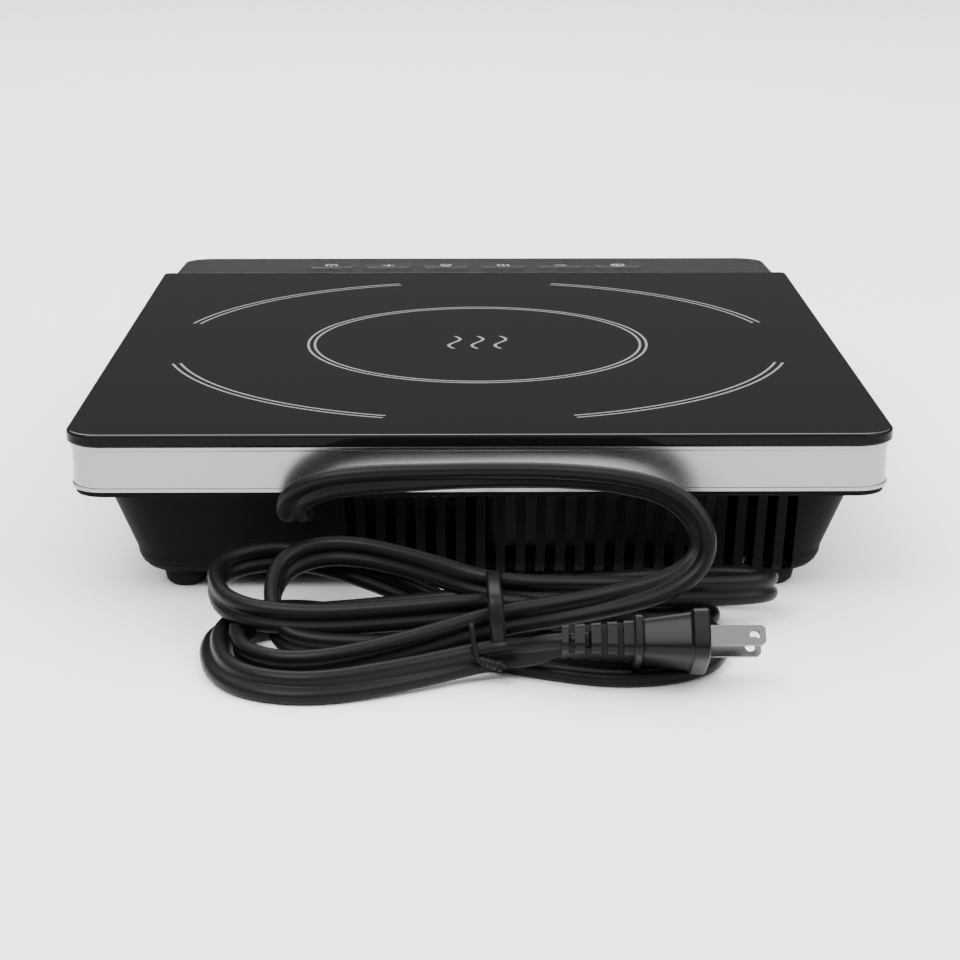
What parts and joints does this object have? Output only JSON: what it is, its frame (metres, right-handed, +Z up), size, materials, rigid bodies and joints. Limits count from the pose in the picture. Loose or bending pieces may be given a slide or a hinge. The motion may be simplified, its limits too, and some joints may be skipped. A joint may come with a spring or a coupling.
{
  "type": "portable induction cooktop",
  "caption": "Low rectangular countertop induction cooktop with a square glass plate, sloping key panel, satin band, vented base, rubber feet and a tied flat supply cord.",
  "frame": {"origin": "middle of the body footprint, on the surface under the feet", "axes": "+Z up, +Y from the control panel to the back, +X to the right seen from the control panel"},
  "size_m": [0.28, 0.4414, 0.063],
  "materials": {
    "ceramic_glass": "polished black ceramic glass",
    "satin_band": "satin, fine grain along the band",
    "black_plastic": "fine moulded texture",
    "gloss_black": "glossy moulded panel",
    "key_gloss": "glossy moulded keys",
    "smoked_window": "smoked clear window",
    "foot_rubber": "matt rubber",
    "silicone": "silicone",
    "board": "circuit board",
    "component_black": "moulded component",
    "led": "tinted lamp",
    "former_plastic": "glass-filled nylon",
    "ferrite": "sintered ferrite",
    "copper": "enamelled copper wire",
    "mica": "mica sheet",
    "fuse_ceramic": "ceramic body",
    "bearing_brass": "sintered bronze",
    "sink_aluminium": "extruded aluminium",
    "capacitor_case": "moulded case",
    "wire": "sleeved wire",
    "ribbon": "flat ribbon",
    "screw_steel": "zinc-plated steel",
    "cord_pvc": "matt flexible sheath with a centre groove",
    "bush_pvc": "moulded bush",
    "plug_pvc": "moulded flexible plastic",
    "blade_nickel": "nickel plate",
    "tie_plastic": "plastic-covered wire tie"
  },
  "bodies": {
    "root": {"board_screws": "screw_steel", "bottom_housing": "black_plastic", "bridge_rectifier": "component_black", "buzzer": "component_black", "case_screws": "screw_steel", "clamp_screws": "screw_steel", "coil_former": "former_plastic", "coil_leads": "wire", "coil_screws": "screw_steel", "coil_sensor": "fuse_ceramic", "coil_winding": "copper", "control_board": "board", "control_fascia": "gloss_black", "cord_bush": "bush_pvc", "cord_clamp": "former_plastic", "cord_hank": "cord_pvc", "cord_lead": "cord_pvc", "device_screws": "screw_steel", "display_window": "smoked_window", "fan_bearing": "bearing_brass", "fan_frame": "component_black", "fan_motor": "copper", "fan_screws": "screw_steel", "ferrite_bars": "ferrite", "filter_capacitor": "capacitor_case", "foot_back_left": "foot_rubber", "foot_back_right": "foot_rubber", "foot_front_left": "foot_rubber", "foot_front_right": "foot_rubber", "foot_screws": "screw_steel", "glass_seal": "silicone", "glass_top": "ceramic_glass", "heat_sink": "sink_aluminium", "indicator_leds": "led", "inner_cord": "cord_pvc", "led_display": "component_black", "line_fuse": "fuse_ceramic", "mica_sheet": "mica", "panel_screws": "screw_steel", "plug_blades": "blade_nickel", "plug_body": "plug_pvc", "plug_strain_relief": "plug_pvc", "power_board": "board", "power_transistor": "component_black", "resonant_capacitor": "capacitor_case", "ribbon_cable": "ribbon", "sensor_cap": "silicone", "supply_choke": "copper", "tact_switches": "component_black", "trim_band": "satin_band", "twist_tie": "tie_plastic", "upper_frame": "black_plastic"},
    "fan": {"fan_rotor": "component_black", "fan_shaft": "screw_steel"},
    "timer_key": {"key_timer": "key_gloss"},
    "minus_key": {"key_minus": "key_gloss"},
    "mode_key": {"key_mode": "key_gloss"},
    "lock_key": {"key_lock": "key_gloss"},
    "plus_key": {"key_plus": "key_gloss"},
    "power_key": {"key_power": "key_gloss"}
  },
  "joints": [
    {"name": "fan_spin", "type": "hinge", "parent": "root", "child": "fan", "pos_m": [-0.048, 0.092, 0.022], "axis": [0, 0, 1], "continuous": true},
    {"name": "timer_push", "type": "slide", "parent": "root", "child": "timer_key", "axis": [0, -0.0528, 0.9986], "range_m": [-0.0005, 0], "stiffness_N_per_m": 2000},
    {"name": "minus_push", "type": "slide", "parent": "root", "child": "minus_key", "axis": [0, -0.0528, 0.9986], "range_m": [-0.0005, 0], "stiffness_N_per_m": 2000},
    {"name": "mode_push", "type": "slide", "parent": "root", "child": "mode_key", "axis": [0, -0.0528, 0.9986], "range_m": [-0.0005, 0], "stiffness_N_per_m": 2000},
    {"name": "lock_push", "type": "slide", "parent": "root", "child": "lock_key", "axis": [0, -0.0528, 0.9986], "range_m": [-0.0005, 0], "stiffness_N_per_m": 2000},
    {"name": "plus_push", "type": "slide", "parent": "root", "child": "plus_key", "axis": [0, -0.0528, 0.9986], "range_m": [-0.0005, 0], "stiffness_N_per_m": 2000},
    {"name": "power_push", "type": "slide", "parent": "root", "child": "power_key", "axis": [0, -0.0528, 0.9986], "range_m": [-0.0005, 0], "stiffness_N_per_m": 2000}
  ]
}
